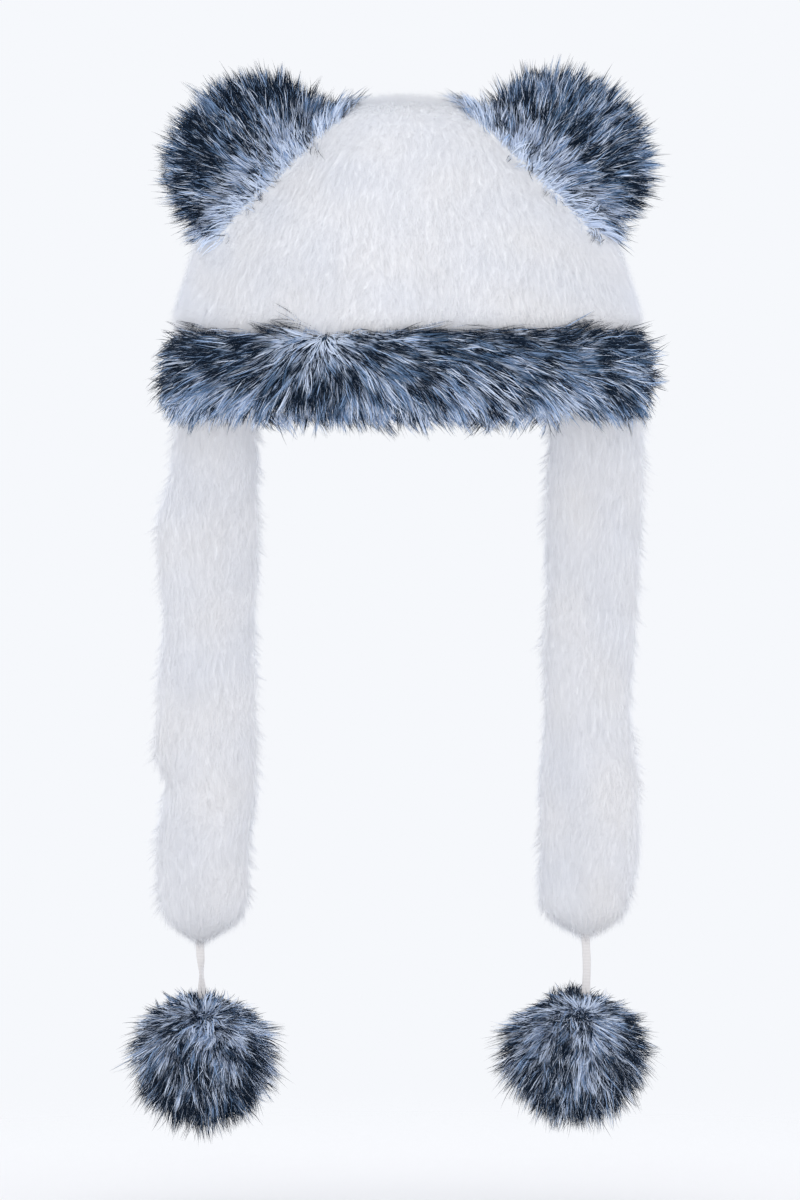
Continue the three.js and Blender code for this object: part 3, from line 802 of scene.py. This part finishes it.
def make_ear(name):
    """An ear: a pad with fur on both faces, fanned out from inside the crown, and fur along its seam."""
    seed = SEEDS[name]
    centre = np.array([EARS[name][0], 0, EARS[name][1]], float)
    side = np.sign(centre[0])
    fan = centre + [-side * EAR["fan"][0], 0, -EAR["fan"][1]]
    # The seam runs down and outwards at about 42 degrees, and the pad is longer along it.
    lean = -side * math.radians(48)
    sine, cosine = math.sin(lean), math.cos(lean)
    turned = np.array([[cosine, 0, sine], [0, 1, 0], [-sine, 0, cosine]])
    pad = make_ear_pad(name, centre, turned)
    rng = np.random.default_rng(seed)
    roots, normals = scatter(pad, STRANDS["ear"], rng, lambda places, _: above_crown(places) > -3)

    def along_seam(places, _):
        return (places[:, 0] * side > 0) & (seam_cover(places) > 0.02)

    crown = bpy.data.objects["crown_shell"]
    seam_roots, seam_normals = scatter(crown, STRANDS["ear_seam"], rng, along_seam)
    sewn = rng.random(len(seam_roots)) < seam_cover(seam_roots)
    seam_normals = unit(seam_normals * [1, 2.5, 1])
    on_pad = np.arange(len(roots) + sewn.sum()) < len(roots)
    roots = np.concatenate([roots, seam_roots[sewn]])
    normals = np.concatenate([normals, seam_normals[sewn]])

    # The fur fans out from inside the crown, and lies down along the seam's two ends.
    along, out = turned @ UP, turned @ [side, 0, 0]
    spread = (roots - fan) @ along
    rise = (roots - fan) @ out
    past = np.abs((roots - centre) @ along)
    rise = rise * (1 - 1.15 * smooth_step(25, 62, past)) - 30 * smooth_step(45, 62, past)
    # A pad's strands go outwards from its middle plane, and the seam's lean over it.
    apart = np.where(on_pad, 0.3, -1.1) * roots[:, 1]
    comb = spread[:, None] * along + rise[:, None] * out + apart[:, None] * [0, 1, 0]
    comb = unit(unit(comb) + 0.2 * drift(roots, 30, seed))
    # Here and there a lock of the seam has turned over and lies on the crown.
    over = ~on_pad & (lumps(roots, 11, seed + 11) > 0.4)
    onto = np.sign(roots[:, 1:2]) * [0, 0.6, 0] - out - 0.3 * UP
    comb = np.where(over[:, None], unit(along_skin(onto, normals)), comb)
    from_seam = above_crown(roots)
    style = {
        "length": 18, "lengths": np.where(over, 0.75, 0.85 + 0.2 * smooth_step(-6, 8, from_seam)),
        "lift": 0.18, "stray": 0.14, "width": 0.58, "lock_size": 8, "lock_spread": 0.12,
        "pull": 0.75, "wave": 1.0, "guard": 0.06,
    }
    white = (1 - smooth_step(-4, 12, from_seam)) * (1 - 0.6 * smooth_step(38, 60, past))
    dark = EAR_DARKNESS[name] - 1.8 * white - 0.4 * smooth_step(22, 34, from_seam)
    dark = np.where(on_pad, dark, np.where(over, 0.15, -0.7))
    shades = {"dark": dark, "pale": 0.1 + 0.65 * white, "patch_mm": 24, "seed": seed + 7}
    make_fur(name + "_fur", roots, normals, comb, style, shades, rng)


def tail_rows(name):
    """A tail's levels, from its CAD solid: height, edges and half thickness, in mm, from the top down."""
    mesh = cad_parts[name].data
    places = np.array([v.co for v in mesh.vertices], float) / MM
    levels = {}
    for place in places:
        levels.setdefault(round(place[2]), []).append(place)
    rows = []
    # Only whole rings count, not the few points at the solid's ends.
    for z in sorted(levels, reverse=True):
        ring = np.array(levels[z])
        if len(ring) >= 10 and np.ptp(ring[:, 0]) > 12:
            rows.append((z, ring[:, 0].min(), ring[:, 0].max(), np.abs(ring[:, 1]).max()))
    return np.array(rows)


def make_tail(name):
    """A tail: a padded strip of white plush, a little uneven where its filling bunches."""
    seed = SEEDS[name]
    heights, lefts, rights, depths = tail_rows(name).T
    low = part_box(name)[0].z / MM
    levels = np.linspace(heights[0] - 1, low + 5, 90)
    # The solid narrows from below the hem to where it is sewn in, but the strip is full there.
    full = HOLLOW["hem"] - 10
    shown = np.where((levels < HOLLOW["sewn_hem"] - 1) & (levels > full), full, levels)
    left, right, depth = (np.interp(-shown, -heights, edge) for edge in (lefts, rights, depths))
    # Its lowest 12 mm are rounded off.
    end = np.sqrt(np.clip((levels - (low + 4)) / 12, 0, 1))
    half_width = np.maximum(0.5 * (right - left) - 0.6 * PLUSH_DEPTH, 4) * end
    half_depth = np.maximum(depth - PLUSH_DEPTH, 2.5) * end
    shape = zip(0.5 * (left + right), half_width, half_depth, levels)
    rings = np.array([oval(width, deep, z, 40) + [x, 0, 0] for x, width, deep, z in shape])
    swell = 0.5 * lumps(rings, 30, seed)[..., None] * unit(rings - rings.mean(1, keepdims=True))
    pad = skin(name + "_pad", rings + swell, [plush_base], rings[0].mean(0), rings[-1].mean(0) - [0, 0, 1])
    finish_piece(pad, [name])
    rng = np.random.default_rng(seed)
    below_hem = HOLLOW["sewn_hem"] + 1
    roots, normals = scatter(pad, FIBRES["tail"], rng, lambda places, _: places[:, 2] < below_hem)
    comb = unit(-UP + 0.2 * drift(roots, 50, seed))
    # The strip's two side seams turn its pile outwards.
    tufts = smooth_step(-0.8, 0.5, lumps(roots, 8, seed + 19))
    proud = tufts * smooth_step(0.5, 0.95, np.abs(normals[:, 0]))
    make_pile(name + "_pile", roots, normals, comb, proud, rng, seed + 9)


def make_pompom(name):
    """A pompom: strands tied at its middle that stand out all round and droop."""
    seed = SEEDS[name]
    x, z = POMPOMS[name]
    centre = np.array([x - 2, 0, z + 2], float)
    size = np.array([26, 24, 25])
    to_top = size * [0, 0, 1]
    rings = ball_rings(16, 32) * size + centre
    core = skin(name + "_core", rings, [underfur], centre + to_top, centre - to_top)
    finish_piece(core, [name])
    rng = np.random.default_rng(seed)
    roots, normals = scatter(core, STRANDS["pompom"], rng)
    # All are combed away from the knot, in front of the cord, where the fur parts along a short line.
    away = roots - (centre + size * [0, -0.45, 0.8])
    away[:, 0] *= smooth_step(-3, 20, np.abs(away[:, 0] + 4 * lumps(roots, 14, seed + 5)))
    comb = unit(unit(away * [0.8, 0.7, 1]) - 0.15 * UP + 0.45 * drift(roots, 22, seed))
    up = normals[:, 2]
    top = smooth_step(0.7, 0.97, up)
    shoulder = smooth_step(0.1, 0.5, up) * (1 - top)
    style = {
        "length": 20, "lengths": 1 - 0.45 * smooth_step(0.3, 0.95, up),
        "lift": (0.28 + 0.15 * shoulder - 0.15 * top)[:, None], "knee": 0.42, "stray": 0.15, "width": 0.55,
        "lock_size": 8, "lock_spread": 0.14, "pull": 0.72, "wave": 1.8, "guard": 0.06,
    }
    dark = 0.27 + 0.2 * top + 0.25 * smooth_step(0.2, 0.8, -up)
    shades = {"dark": dark, "pale": 0.5, "patch_mm": 20, "seed": seed + 7}
    make_fur(name + "_fur", roots, normals, comb, style, shades, rng)


def make_surround():
    """A pale even surround, and colours shown as they are."""
    world = bpy.data.worlds.new("surround")
    world.use_nodes = True
    background = world.node_tree.nodes["Background"]
    background.inputs["Color"].default_value = linear("#f6f8fc")
    background.inputs["Strength"].default_value = 1.0
    scene.world = world
    scene.view_settings.view_transform = "Standard"
    scene.view_settings.look = "None"


def make_floor():
    """A pale floor below the hat that fades into the surround."""
    floor = bpy.data.meshes.new("floor")
    angles = np.linspace(0, 2 * math.pi, 96, endpoint=False)
    rim = [(FLOOR["radius"] * math.cos(a), FLOOR["radius"] * math.sin(a), 0) for a in angles]
    floor.from_pydata(rim, [], [tuple(range(len(rim)))])
    floor.materials.append(matt_paper())
    disc = add_object("floor", floor)
    disc.location = (0, 0, FLOOR["z"])


def make_lamps():
    """Large soft lamps in front, behind and overhead, which the camera doesn't see."""
    for name, (place, power, tint) in LAMPS.items():
        data = bpy.data.lights.new(name, "AREA")
        data.size = LAMP_SIZE
        data.energy = power
        data.color = linear(tint)[:3]
        lamp = add_object(name, data)
        lamp.location = place
        lamp.rotation_euler = (Vector(LAMPS_AIM) - Vector(place)).to_track_quat("-Z", "Y").to_euler()
        lamp.visible_camera = False


set_camera()
make_surround()
make_floor()
make_lamps()

woven_tape_material = woven_tape()
fur_material = frosted_fur()
pile_material = white_pile()
# The cloth under the pile is painted whiter than the fibres' tips. This is painted light that lifts the
# shade the fibres cast on it.
plush_base = cloth("plush_base_cloth", "#f0f3f7", "#f6f7f9", 12.0, 0.3)
underfur = cloth("dense_underfur", "#121b2a", "#36485f", 2.5, 0.8, "#cfd8e6")
knit_back = knitted_backing()

for cord, cord_route in CORD_ROUTES.items():
    tape(cord, cord_route, CORD_TWISTS[cord])
make_crown()
make_cuff()
for ear in EARS:
    make_ear(ear)
for tail in ("tail_left", "tail_right"):
    make_tail(tail)
for pompom in POMPOMS:
    make_pompom(pompom)
